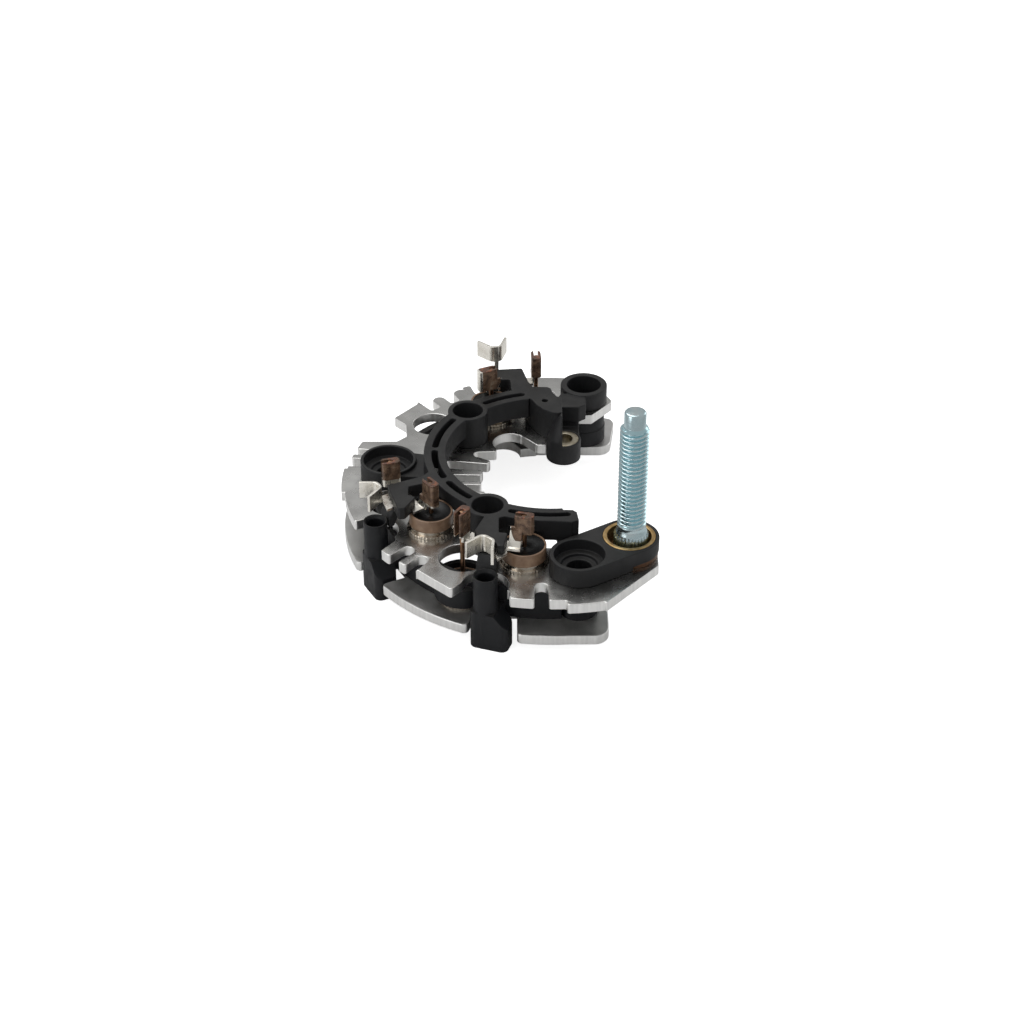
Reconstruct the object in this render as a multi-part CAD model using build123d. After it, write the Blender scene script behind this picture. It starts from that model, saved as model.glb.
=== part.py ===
from build123d import *
import math
import os

# Alternator rectifier: two stamped aluminium heat sinks, one above the other, with three press-fit
# diodes in each, a moulded terminal carrier on top and a moulded wire guide frame between them.
# Millimetres and degrees. The origin is on the alternator's axis, at the underside of the lower
# heat sink. Z runs up the diode leads, and the open side of the C faces +X.

# Stack of plates and mouldings
lower_plate_thickness = 3.0
plate_gap = 9.8
upper_plate_thickness = 3.0
cup_height = 5.6
carrier_height = 9.7
arc_clearance = 3.3
corner_round = 0.7
smooth_join = 15.0
touching = 0.001
mould_gap = 0.3

lower_top = lower_plate_thickness
upper_bottom = lower_top + plate_gap
upper_top = upper_bottom + upper_plate_thickness
cup_top = upper_top + cup_height
carrier_top = upper_top + carrier_height
arc_bottom = upper_top + arc_clearance

# Heat sink outlines, as radii about the alternator's axis
sink_outer_radius = 58.6
front_fin_radius = 59.2
front_lobe_radius = 61.3
left_lobe_radius = 59.5
upper_inner_radius = 31.0
upper_front_inner_radius = 34.5
fin_tip_radius = 19.6
lower_outer_radius = 57.8
lower_left_radius = 59.0
lower_inner_radius = 38.0
lower_back_edge = 38.3
lower_corner_round = 4.0
outer_notch_radius = 52.0

# Three mounting points on one circle
mounting_radius = 46.1
front_mount_angle = 279.1
left_mount_angle = 177.2
right_mount_angle = 76.3
mounting_hole_radius = 3.4
sink_hole_radius = 5.6

# Three phases: a negative diode below and a positive diode above, a little further round
negative_circle = 46.1
negative_angles = (238.4, 194.9, 94.4)
positive_circles = (41.6, 41.1, 39.0)
positive_angles = (259.7, 216.5, 115.8)
access_hole_radius = 6.5
vent_hole_radius = 6.0
vent_hole_angle = 138.0

# Press-fit diode
diode_base_radius = 6.35
diode_flange_radius = 6.75
diode_flange_height = 0.9
diode_neck_radius = 6.2
diode_neck_height = 1.1
diode_sleeve_radius = 6.0
diode_sleeve_wall = 0.55
diode_sleeve_height = 3.6
diode_potting_dish = 0.7
diode_socket_depth = 0.8
diode_lead_radius = 0.65
knurl_teeth = 44
knurl_depth = 0.16

# Terminal carrier
arc_inner_radius = 29.6
arc_outer_radius = 35.8
arc_slot_width = 1.8
boss_circle = 32.8
boss_angles = (237.8, 136.2)
boss_radius = 5.8
boss_bore_radius = 4.4
pad_bottom_above_sink = 5.9
tongue_start_radius = 40.5
tongue_end_radius = 49.4
tongue_depth = 1.6
tongue_width = 5.6
tongue_turn = 11.2

# Cups round the mounting bolts, and the insulated stud end
front_cup_radius = 8.1
front_cup_bore = 6.9
left_cup_radius = 8.0
left_cup_bore = 7.1
right_cup_radius = 7.0
right_cup_bore = 5.1
cup_ledge_radius = 5.0
cup_ledge_depth = 3.4
right_cup_ledge_depth = 7.2
second_ledge_drop = 0.9
stud_place = (21.0, -36.7)
stud_end_radius = 8.2
stud_washer_radius = 8.0
stud_washer_thickness = 1.3
stud_ring_radius = 7.2
stud_ring_bore = 6.0

# Terminal stud
stud_thread_radius = 3.95
stud_thread_length = 31.0
stud_thread_pitch = 1.25
stud_thread_depth = 0.6
stud_crest_width = 0.2
stud_point_radius = 2.92
stud_point_length = 4.3
stud_collar_radius = 4.75
stud_collar_top_above_cup = 1.1
stud_cone_length = 2.6
stud_offset = 0.5
stud_head_radius = 6.4
stud_head_thickness = 1.8
stud_knurls = 28

# Threaded bush beside the right mounting tube
bush_place = (4.4, 20.3)
bush_boss_radius = 5.05
bush_boss_bottom = 10.9
bush_face = 17.3
bush_flange_radius = 4.4
bush_flange_thickness = 1.0
bush_radius = 3.4
bush_thread_radius = 2.5
bush_height = 5.6
bush_wall_right = 3.9
ear_web_top = 21.0

# Wire guides
guide_circle = 54.8
guide_angles = (251.0, 207.9, 107.5)
guide_radius = 3.35
guide_bore_radius = 2.3
guide_bottom = -3.4
guide_top_above_sink = 3.0
guide_block_start = -3.8
guide_block_end = 7.0
guide_block_depth = 6.6
guide_block_round = 2.0
guide_block_top = 8.0
guide_bay_radius = 6.3
lower_bay_start = -4.4
lower_bay_end = 7.7
frame_wall_radius = 50.0
frame_wall_thickness = 2.0
frame_wall_start = 88
frame_wall_end = 273
frame_collar_wall = 1.6
frame_ring_radius = 7.9
frame_ring_top = 10.0

# Spacers between the plates
front_spacer_radius = 5.3
left_spacer_radius = 6.0
right_spacer_radius = 6.6

# Phase terminals, stamped from one strip each and bent to reach their own diodes
strip_thickness = 0.8
strip_bottom = 22.0
strip_inner_radius = 43.0
strip_outer_radius = 46.6
strip_end_turn = 0.4
clip_length = 5.2
clip_bend_radius = 1.0
clip_gap = 0.65
negative_clip_spans = ((23.8, 31.2), (22.0, 29.7), (24.3, 30.8))
positive_clip_spans = ((25.3, 30.8), (23.5, 30.7), (25.8, 32.4))
positive_clip_lengths = (5.2, 5.2, 6.0)
positive_clip_shifts = (0, 0, 1.2)
leg_width = 3.3
leg_foot_radii = (46.4, 43.6, 43.4)
hook_height = 5.0
hook_bottoms = (22.0, 22.0, 27.6)
hook_bend_radius = 1.5

# Plan shapes of the hooks, of the tabs below them and of the pads above, front, left and back
hook_folds = (
    ((-23.0, -48.5), (-18.5, -44.4), (-15.7, -47.0), (-16.0, -51.8)),
    ((-53.0, -18.7), (-48.4, -18.7), (-46.7, -20.8), (-50.0, -26.2)),
    ((-21.0, 51.4), (-16.8, 47.7), (-14.2, 48.2), (-12.7, 53.7)),
)
hook_tabs = (
    ((-17.0, -43.5), (-12.2, -44.6), (-12.0, -47.2), (-14.6, -50.2), (-15.7, -47.0), (-17.6, -45.2)),
    ((-43.2, -16.6), (-41.5, -22.5), (-42.2, -23.9), (-45.0, -26.1), (-46.7, -20.8), (-47.6, -19.7)),
    ((-16.0, 43.5), (-13.2, 44.2), (-13.6, 48.3), (-16.2, 47.8)),
)
pad_corners = (
    ((-17.0, -29.0), (-18.5, -34.1), (-20.9, -40.6), (-20.1, -43.5), (-18.2, -43.5), (-14.9, -46.4),
     (-14.8, -47.8), (-12.9, -48.0), (-11.9, -41.5), (-14.3, -41.2), (-14.3, -34.2), (-10.4, -32.5)),
    ((-33.0, -9.5), (-36.1, -13.5), (-45.3, -17.7), (-41.8, -29.8), (-39.9, -29.4), (-37.2, -24.0),
     (-39.4, -22.6), (-39.4, -18.6), (-34.5, -16.8), (-31.0, -15.0)),
    ((-3.6, 34.0), (-5.9, 39.5), (-7.7, 47.4), (-15.4, 46.6), (-15.4, 40.5), (-11.4, 40.5), (-10.8, 33.0)),
)

phases = range(3)


def place(radius, angle):
    """Point at a radius and an angle about the alternator's axis."""
    return (radius * math.cos(math.radians(angle)), radius * math.sin(math.radians(angle)))


def disc(radius, centre):
    return Pos(centre[0], centre[1]) * Circle(radius)


def sector(inner, outer, start, end):
    """Stretch of a flat ring between two radii and two angles."""
    near = CenterArc((0, 0), inner, start, end - start)
    far = CenterArc((0, 0), outer, start, end - start)
    return Sketch() + make_face([near, far, Line(near @ 0, far @ 0), Line(near @ 1, far @ 1)])


def patch(*points):
    """Straight-sided region; the order of its points doesn't matter."""
    return Sketch() + make_face(Polyline(*points, close=True))


def slot(start, end, width):
    """Round-ended slot between two end centres."""
    length = math.dist(start, end)
    angle = math.degrees(math.atan2(end[1] - start[1], end[0] - start[0]))
    middle = ((start[0] + end[0]) / 2, (start[1] + end[1]) / 2)
    return Pos(*middle) * Rot(0, 0, angle) * SlotCenterToCenter(length, width)


def prism(outline, bottom, top):
    """Outline raised from one height to another."""
    return Pos(0, 0, bottom) * extrude(outline, top - bottom, dir=(0, 0, 1))


def leaving(edge, corner):
    """Direction in which an edge leaves one of its ends."""
    starts_here = (edge.position_at(0) - corner).length < touching
    return edge.tangent_at(0) if starts_here else -edge.tangent_at(1)


def main_face(outline):
    """Largest face of an outline, without the crumbs that crossing cuts can leave."""
    return Sketch() + max(outline.faces(), key=lambda face: face.area)


def tight(edge, radius):
    """Whether an edge leaves no room for a rounded corner: too short, or a small arc itself."""
    small_arc = edge.geom_type == GeomType.CIRCLE and edge.radius < 4 * radius
    return small_arc or edge.length < 2.1 * radius


def rounded(outline, radius):
    """Outline with its corners rounded, apart from smooth joins and corners with no room."""
    outline = main_face(outline)
    edges = outline.edges()
    ends = [(edge.position_at(0), edge.position_at(1)) for edge in edges]
    corners = []
    for vertex in outline.vertices():
        corner = Vector(vertex.X, vertex.Y, vertex.Z)
        meeting = [edge for edge, (first, last) in zip(edges, ends)
                   if min((first - corner).length, (last - corner).length) < touching]
        bend = 180 - leaving(meeting[0], corner).get_angle(leaving(meeting[-1], corner))
        if bend > smooth_join and not any(tight(edge, radius) for edge in meeting):
            corners.append(vertex)
    return fillet(corners, radius)


def turned(profile, centre):
    """Solid of revolution about a vertical axis, from radius and height pairs."""
    face = make_face(Polyline(*[(radius, 0, height) for radius, height in profile], close=True))
    return Pos(centre[0], centre[1]) * revolve(face, Axis.Z)


def joined(first, second):
    """Outline of two discs and the straight sides that join them, like a chain link."""
    return make_hull((first + second).edges())


front_mount = place(mounting_radius, front_mount_angle)
left_mount = place(mounting_radius, left_mount_angle)
right_mount = place(mounting_radius, right_mount_angle)
mounts = (front_mount, left_mount, right_mount)
vent_hole = place(mounting_radius, vent_hole_angle)
negative_places = [place(negative_circle, negative_angles[k]) for k in phases]
positive_places = [place(positive_circles[k], positive_angles[k]) for k in phases]
guide_places = [place(guide_circle, guide_angles[k]) for k in phases]
boss_places = [place(boss_circle, angle) for angle in boss_angles]
stud_axis = (stud_place[0] + stud_offset, stud_place[1])
spacer_radii = (front_spacer_radius, left_spacer_radius, right_spacer_radius)


def guide_bay(k):
    """Open bay in a heat sink where a wire guide stands."""
    outside = place(guide_circle + 2 * guide_bay_radius, guide_angles[k])
    return slot(guide_places[k], outside, 2 * guide_bay_radius)


def lower_bay(k):
    """Square bay in the lower heat sink, which leaves room for the block of a wire guide."""
    width = lower_bay_end - lower_bay_start
    middle = (lower_bay_start + lower_bay_end) / 2
    depth = 4 * guide_bay_radius
    shape = Pos(depth / 2 - guide_bay_radius, middle) * Rectangle(depth, width)
    return Pos(*guide_places[k]) * Rot(0, 0, guide_angles[k]) * shape


def inner_fins():
    """Comb of three narrow fins on the inner edge, below the arched notch."""
    comb = sector(fin_tip_radius, upper_inner_radius + 1, 93, 201)
    comb += patch((-5, 22), (-3.4, 18.8), (3.4, 18.8), (3.4, 33), (-5, 33))
    arch_centre = (-11.3, 20.3)
    arch_radius = 5.0
    comb -= disc(arch_radius, arch_centre)
    comb -= patch((-8.0, 24.1), (-3.4, 18.8), (-3, 10), (-15.3, 10), (-15.3, 17.5), (-16.3, 20.3), (-11, 22))
    comb -= patch((-20.5, 15.0), (-14, 15.2), (-12, 8.2), (-16.5, 9.9), (-20.5, 12.3))
    comb -= disc(1.36, (-20.5, 13.65))
    comb -= patch((-28.5, 10.1), (-16, 8.2), (-12, 6), (-16, 4.6), (-28.5, 6.1))
    comb -= disc(2.0, (-28.5, 8.1))
    comb -= patch((-27.5, 2.7), (-16, 2.3), (-16, -1.0), (-27.5, -0.7))
    comb -= disc(1.7, (-27.5, 1.0))
    comb -= patch((-26.5, -2.5), (-16, -2.9), (-16, -6.2), (-26.5, -5.7))
    comb -= disc(1.6, (-26.5, -4.1))
    return comb


def upper_heat_sink():
    """Positive heat sink: the larger plate, with fins at both edges."""
    outline = sector(upper_inner_radius, sink_outer_radius, 83, 299)
    outline += sector(upper_inner_radius, left_lobe_radius, 173.9, 186.5)
    outline += sector(upper_inner_radius, front_fin_radius, 259, 273.6)
    outline += sector(upper_inner_radius, front_lobe_radius, 273.6, 284)
    outline += patch((-27, -54.2), (-36.2, -45.2), (-30, -36), (-17, -44))
    outline += patch((28.9, -31), (28.9, -43), (14.2, -60.2), (8, -52), (18, -30))
    outline -= sector(upper_inner_radius - 1, upper_front_inner_radius, 262, 300)
    outline += disc(stud_end_radius - mould_gap, stud_place)
    outline += inner_fins()
    # Right end, cut off at a slant in front of the right cup
    outline += patch((3, 34), (11.8, 34), (19.3, 43.4), (19.3, 45.0), (17.6, 48.4), (13.4, 57.0), (3, 58.4))
    # Chamfered corner beyond the stud, and the notch beside the bush boss
    outline -= patch((28.9, -43), (14.2, -60.2), (14.2, -66), (60, -66), (60, -20), (28.9, -20))
    outline -= patch((3.4, 18), (3.4, 35.6), (30, 35.6), (30, 18))
    # Round-tipped fins of the back left edge, in a notch that is cut out first
    outline -= sector(outer_notch_radius, 2 * sink_outer_radius, 116.5, 132)
    outline += slot(place(49, 126.2), place(55.4, 126.2), 4.0)
    outline += slot(place(47, 118.2), place(55.5, 118.2), 4.6)
    # Straight corner lines of the front-left, upper-left and back lobes
    outline -= patch((-27, -54.2), (-36.2, -45.2), (-46, -50), (-34, -64))
    outline -= patch((-46, 34.4), (-39, 43.1), (-44, 50), (-54, 38))
    for k in phases:
        outline -= guide_bay(k)
    outline -= patch((-20.5, -46.6), (-27, -54.2), (-27, -66), (-11.4, -66), (-11.4, -55))
    outline -= patch((-44.2, -20), (-55.2, -24.2), (-66, -28), (-58, -44), (-47, -36.4), (-42.6, -30.6))
    # Round-ended slots between the outer fins
    outline -= slot((-35.3, -40.4), (-42.5, -50.3), 3.7)
    outline -= slot((-39.2, -35.9), (-48.7, -46.2), 3.7)
    outline -= slot((-2.9, -53.2), (-2.9, -64), 3.8)
    outline -= slot((-51.8, 9.2), (-64, 9.9), 4.2)
    outline -= slot((-48.0, 14.1), (-64, 16.6), 3.0)
    outline -= patch((-66, 21.0), (-44.6, 21.0), (-41.8, 23.9), (-42.3, 30.3), (-46, 34.4), (-66, 40))
    outline -= slot((-33.0, 20.6), (-31.9, 24.0), 2.4)
    outline = rounded(outline, corner_round)
    for k in phases:
        outline -= disc(access_hole_radius, negative_places[k])
        outline -= disc(diode_base_radius, positive_places[k])
    outline -= disc(vent_hole_radius, vent_hole)
    for mount in mounts:
        outline -= disc(sink_hole_radius, mount)
    outline -= disc(stud_collar_radius, stud_axis)
    outline -= disc(bush_boss_radius + mould_gap, bush_place)
    return prism(outline, upper_bottom, upper_top)


def lower_heat_sink():
    """Negative heat sink: a C with open bays for the wire guides."""
    outline = sector(lower_inner_radius, lower_outer_radius, 95, 275)
    outline += sector(lower_inner_radius, sink_outer_radius, 95, 150)
    outline += sector(lower_inner_radius, lower_left_radius, 150, 205)
    front_end = patch((0, -37.4), (15.3, -37.4), (15.3, -57.6), (0, -57.6))
    outline += fillet(front_end.vertices().sort_by(Axis.X)[-2:].sort_by(Axis.Y)[:1], lower_corner_round)
    back_end = patch((-8.6, lower_back_edge), (18.8, lower_back_edge), (21.2, 56.4), (-8.6, 56.4))
    right_corners = back_end.vertices().sort_by(Axis.X)[-2:]
    outline += fillet(right_corners, lower_corner_round) & Circle(sink_outer_radius)
    for k in phases:
        outline -= lower_bay(k)
    # Straight side beside the first guide, and the scallop in the inner edge before the back end
    outline -= patch((-9.4, -66), (-9.4, -46), (-16, -46), (-20, -66))
    outline -= disc(5.2, (-13.5, 36.5))
    outline = rounded(outline, 2 * corner_round)
    for k in phases:
        outline -= disc(diode_base_radius, negative_places[k])
    for mount in mounts:
        outline -= disc(mounting_hole_radius, mount)
    return prism(outline, 0, lower_top)


def knurled_disc(radius, depth, teeth, centre):
    """Disc whose rim is cut into small V teeth."""
    points = []
    for tooth in range(teeth):
        angle = 360 * tooth / teeth
        points.append(place(radius, angle))
        points.append(place(radius - depth, angle + 180 / teeth))
    return Pos(centre[0], centre[1]) * make_face(Polyline(*points, close=True))


def diode_base(centre, seat_bottom, seat_top):
    """Nickel-plated copper cup, pressed into its heat sink up to a knurled flange."""
    flange_top = seat_top + diode_flange_height
    neck_top = flange_top + diode_neck_height
    body = prism(disc(diode_base_radius, centre), seat_bottom, seat_top)
    flange = knurled_disc(diode_flange_radius, knurl_depth, knurl_teeth, centre)
    body += prism(Sketch() + flange, seat_top, flange_top)
    body += prism(disc(diode_neck_radius, centre), flange_top, neck_top)
    socket = disc(diode_sleeve_radius, centre)
    return body - prism(socket, neck_top - diode_socket_depth, neck_top)


def sleeve_foot(seat_top):
    return seat_top + diode_flange_height + diode_neck_height - diode_socket_depth


def sleeve_top(seat_top):
    return seat_top + diode_flange_height + diode_neck_height + diode_sleeve_height


def diode_sleeve(centre, seat_top):
    """Moulded ring that holds the potting."""
    inside = diode_sleeve_radius - diode_sleeve_wall
    ring = disc(diode_sleeve_radius, centre) - disc(inside, centre)
    return prism(ring, sleeve_foot(seat_top), sleeve_top(seat_top))


def diode_potting(centre, seat_top):
    """Black resin, dished round the lead."""
    inside = diode_sleeve_radius - diode_sleeve_wall
    foot = sleeve_foot(seat_top)
    rim = sleeve_top(seat_top) - mould_gap
    dish = rim - diode_potting_dish
    middle = inside / 2
    rise = diode_lead_radius * 2
    profile = [(diode_lead_radius, foot), (inside, foot), (inside, rim), (middle, dish),
               (rise, dish), (diode_lead_radius, dish + mould_gap)]
    return turned(profile, centre)


def diode_lead(centre, seat_top, clip_top):
    """Straight copper lead from the chip up into its terminal clip."""
    return prism(disc(diode_lead_radius, centre), sleeve_foot(seat_top), clip_top - mould_gap)


def clip(centre, angle, span, length, shift):
    """Strip folded in two round a lead, closed towards the given direction."""
    thickness = 2 * (clip_gap + strip_thickness)
    folded = Pos(shift, 0) * RectangleRounded(length, thickness, clip_bend_radius)
    mouth = Pos(-length / 2, 0) * Rectangle(length, 2 * clip_gap)
    outline = folded - mouth - Circle(clip_gap)
    return prism(Sketch() + Pos(*centre) * Rot(0, 0, angle) * outline, span[0], span[1])


def hook(k):
    """Strip on edge, bent in plan to a V that opens outwards for the winding wire."""
    line = FilletPolyline(*hook_folds[k], radius=hook_bend_radius)
    bottom = hook_bottoms[k]
    body = prism(trace(line, strip_thickness), bottom, bottom + hook_height)
    middle = Line(hook_folds[k][1], hook_folds[k][2])
    base = trace(Line(middle @ 0.3, middle @ 0.75), strip_thickness)
    return body + prism(base, strip_bottom, bottom + hook_height / 2)


def flat_strip(k):
    """Flat of a phase terminal, in the channel under its pad."""
    clip_half = clip_gap + strip_thickness
    start = negative_angles[k] + math.degrees((clip_half - mould_gap) / negative_circle)
    end = positive_angles[k] - strip_end_turn
    outline = sector(strip_inner_radius, strip_outer_radius, start, end)
    leg_turn = 2 * math.degrees(leg_width / 2 / strip_inner_radius)
    reach = min(leg_foot_radii[k], strip_inner_radius) - strip_thickness
    outline += sector(reach, strip_outer_radius, end - leg_turn, end)
    outline += patch(*hook_tabs[k])
    outline -= disc(clip_gap, positive_places[k])
    return main_face(outline)


def negative_leg(k):
    """Short upright from the flat to the foot of a negative diode's clip."""
    offset_turn = math.degrees((clip_gap + strip_thickness / 2) / negative_circle)
    local = Rot(0, 0, negative_angles[k] + offset_turn) * Pos(negative_circle, 0)
    foot = local * Rectangle(leg_width, strip_thickness)
    return prism(Sketch() + foot, strip_bottom, negative_clip_spans[k][0] + 1)


def positive_leg(k):
    """Sloping leg from the flat up to the outer side of a positive diode's clip."""
    head_radius = positive_circles[k] + clip_gap + strip_thickness / 2
    head_height = positive_clip_spans[k][0] + 1
    half = strip_thickness / 2
    foot_radius = leg_foot_radii[k] - half
    profile = [(head_radius - half, head_height + 1), (head_radius + half, head_height + 1),
               (head_radius + half, head_height), (foot_radius + half, strip_bottom),
               (foot_radius - half, strip_bottom), (head_radius - half, head_height - 0.3)]
    face = make_face(Polyline(*[(radius, 0, height) for radius, height in profile], close=True))
    body = extrude(face, leg_width / 2, dir=(0, 1, 0), both=True)
    turn = math.degrees(leg_width / 2 / strip_inner_radius)
    return Rot(0, 0, positive_angles[k] - strip_end_turn - turn) * body


def phase_terminal(k):
    """One stamped strip: flat, two lead clips and the winding hook."""
    body = prism(flat_strip(k), strip_bottom, strip_bottom + strip_thickness)
    body += clip(negative_places[k], negative_angles[k] + 180, negative_clip_spans[k], clip_length, 0)
    body += clip(positive_places[k], positive_angles[k] + 90, positive_clip_spans[k],
                 positive_clip_lengths[k], positive_clip_shifts[k])
    body += negative_leg(k)
    body += positive_leg(k)
    body += hook(k)
    clear = disc(clip_gap, positive_places[k]) + disc(clip_gap, negative_places[k])
    return body - prism(clear, strip_bottom, positive_clip_spans[k][1] + 1)


def arc_slots():
    """Long slots along the middle of the carrier's arc."""
    spans = ((104.0, 124.5), (148.5, 175.0), (180.5, 204.0), (210.5, 226.5), (250.5, 277.5))
    middle_radius = (arc_inner_radius + arc_outer_radius) / 2
    cut = Sketch()
    for start, end in spans:
        cut += SlotArc(CenterArc((0, 0), middle_radius, start, end - start), arc_slot_width)
    return cut


def pad(k):
    """Outrigger of the carrier that holds a phase terminal between its two diodes."""
    outline = rounded(patch(*pad_corners[k]), corner_round)
    return prism(outline, upper_top + pad_bottom_above_sink, carrier_top)


def guide_tongue(k):
    """Rib under a pad that slopes down beyond it to the back of the wire guide."""
    back = guide_circle - guide_radius - mould_gap
    bottom = upper_top + mould_gap
    top = upper_top + pad_bottom_above_sink
    profile = [(tongue_start_radius, top), (tongue_end_radius, top), (back, top - 3), (back, bottom),
               (back - tongue_depth, bottom), (tongue_end_radius - tongue_depth, top - tongue_depth),
               (tongue_start_radius, top - tongue_depth)]
    face = make_face(Polyline(*[(radius, 0, height) for radius, height in profile], close=True))
    web = extrude(face, tongue_width / 2, dir=(0, 1, 0), both=True)
    return Rot(0, 0, negative_angles[k] + tongue_turn) * web


def stepped_bore(centre, bore, depth):
    """Bolt recess of a cup: wide at the top, narrower below a ledge."""
    ledge = cup_top - depth
    wide = prism(disc(bore, centre), ledge, cup_top)
    middle = prism(disc(cup_ledge_radius, centre), ledge - second_ledge_drop, ledge)
    through = prism(disc(mounting_hole_radius, centre), upper_bottom, cup_top)
    return wide + middle + through


def cup(centre, radius):
    """Insulating cup on the upper sink, with a spigot through its hole."""
    body = prism(disc(radius, centre), upper_top, cup_top)
    spigot = prism(disc(sink_hole_radius, centre), upper_bottom, upper_top)
    return body + spigot


def terminal_carrier():
    """Black moulding on the upper sink: arc, bosses, pads, cups, stud link and bush boss."""
    arc = sector(arc_inner_radius, arc_outer_radius, 101, 276)
    arc += patch((-9.5, 28.4), (-3, 30.5), (-1.5, 35.6), (-8, 36))
    arc -= arc_slots()
    body = prism(arc, arc_bottom, carrier_top)
    for centre in boss_places:
        body += prism(disc(boss_radius, centre), upper_top, carrier_top)
    for k in phases:
        body += pad(k)
        body += guide_tongue(k)
    body += front_link()
    body += left_web()
    body += back_ear()
    body += cup(left_mount, left_cup_radius)
    body += cup(right_mount, right_cup_radius)
    for centre in boss_places:
        body -= prism(disc(boss_bore_radius, centre), upper_top, carrier_top)
    body -= stepped_bore(front_mount, front_cup_bore, cup_ledge_depth)
    body -= stepped_bore(left_mount, left_cup_bore, cup_ledge_depth)
    body -= stepped_bore(right_mount, right_cup_bore, right_cup_ledge_depth)
    for k in phases:
        body -= prism(flat_strip(k), upper_top + pad_bottom_above_sink, strip_bottom + strip_thickness)
        relief = disc(diode_flange_radius + mould_gap, positive_places[k])
        body -= prism(relief, upper_top, upper_top + pad_bottom_above_sink)
    return body


def front_link():
    """Front cup and stud end, joined like a chain link, with the arm's foot behind them."""
    outline = joined(disc(front_cup_radius, front_mount), disc(stud_end_radius, stud_place))
    body = prism(outline, upper_top, cup_top)
    body += prism(disc(sink_hole_radius, front_mount), upper_bottom, upper_top)
    arm_end = patch((-3, -29.9), (5.8, -30.3), (6.9, -31.3), (7.4, -35.4), (5.2, -36.2), (-3, -35.6))
    arm_end -= arc_slots()
    body += prism(arm_end, arc_bottom, carrier_top)
    foot = patch((1.4, -31.0), (6.9, -31.3), (7.4, -35.4), (9, -40), (2.4, -40), (1.8, -35.8))
    body += prism(foot, upper_top, arc_bottom)
    body += prism(patch((5.4, -31.0), (6.9, -31.3), (7.4, -35.4), (5.4, -36.2)), arc_bottom, carrier_top)
    washer_room = disc(stud_end_radius + 1, stud_place)
    body -= prism(washer_room, upper_top, upper_top + stud_washer_thickness)
    body -= prism(disc(stud_ring_radius, stud_place), upper_top, cup_top)
    return body


def left_web():
    """Low web from the arc to the left cup."""
    web = patch((-47, -5.4), (-47, 9.4), (-34.5, 6.5), (-34.5, -5.5))
    body = prism(web, upper_top, cup_top - 1.2)
    return body - prism(disc(left_cup_bore, left_mount), upper_top, cup_top)


def back_ear():
    """Ear at the end of the back arm, the bush boss below it and the web to the right cup."""
    ear = patch((-5.6, 29.6), (-4.7, 28.3), (-3.6, 25.9), (-1.7, 23.4), (0.9, 21.5), (2.6, 21.1),
                (bush_wall_right, 21.4), (bush_wall_right, 30.0), (2.4, 30.8), (1.2, 33.2), (0.8, 35.4),
                (-0.2, 36.2), (-7, 36.4))
    ear -= disc(0.9, (-1.1, 28.3))
    body = prism(ear, upper_top, carrier_top)
    # Boss round the bush, closed over its left part by a sloping wall
    boss = disc(bush_boss_radius, bush_place)
    body += prism(boss, bush_boss_bottom, bush_face)
    hood_outline = [(0, bush_face), (bush_boss_radius, bush_face), (1.0, carrier_top), (0, carrier_top)]
    hood = turned(hood_outline, bush_place)
    right_half = Pos(bush_wall_right + 10, bush_place[1]) * Rectangle(20, 20)
    body += hood - prism(right_half, bush_face, carrier_top)
    # Deep pocket behind the bush, and the web from the pocket's far wall to the right cup
    pocket_floor = bush_boss_bottom + 2 * frame_collar_wall
    pocket = patch((3.8, 22), (9.2, 22), (9.2, 34.8), (3.8, 34.8))
    body += prism(pocket, bush_boss_bottom, pocket_floor)
    far_wall = patch((3.8, 32.0), (9.2, 31.9), (9.2, 34.8), (3.8, 34.8))
    body += prism(far_wall, bush_boss_bottom, upper_top)
    web = patch((0.5, 32.0), (9.2, 31.9), (11.2, 33.4), (11.2, 40), (3.9, 40))
    body += prism(web, upper_top, ear_web_top)
    # Seat of the bush, with a clear hole below it for the screw
    body -= prism(disc(bush_radius, bush_place), bush_face - bush_height, bush_face)
    body -= prism(disc(bush_flange_radius, bush_place), bush_face - bush_flange_thickness, bush_face)
    body -= prism(disc(bush_thread_radius, bush_place), bush_boss_bottom, bush_face)
    return body


def wire_guide(k):
    """Upright tube for a winding end, with a ribbed block at its foot."""
    centre = guide_places[k]
    top = upper_top + guide_top_above_sink
    body = prism(disc(guide_radius, centre), guide_bottom, top)
    width = guide_block_end - guide_block_start
    middle = (guide_block_start + guide_block_end) / 2
    block = Pos(0, middle) * RectangleRounded(guide_block_depth, width, guide_block_round)
    local = Pos(*centre) * Rot(0, 0, guide_angles[k])
    body += prism(Sketch() + local * block, guide_bottom, guide_block_top)
    tie_length = guide_circle - frame_wall_radius + frame_wall_thickness / 2
    tie = Pos(-tie_length / 2, 0) * Rectangle(tie_length, -2 * guide_block_start)
    body += prism(Sketch() + local * tie, lower_top + mould_gap, guide_block_top)
    bore = prism(disc(guide_bore_radius, centre), guide_bottom, top)
    flare_outline = [(0, top - 0.9), (guide_bore_radius, top - 0.9), (guide_radius - 0.35, top), (0, top)]
    flare = turned(flare_outline, centre)
    return body - bore - flare


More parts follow.
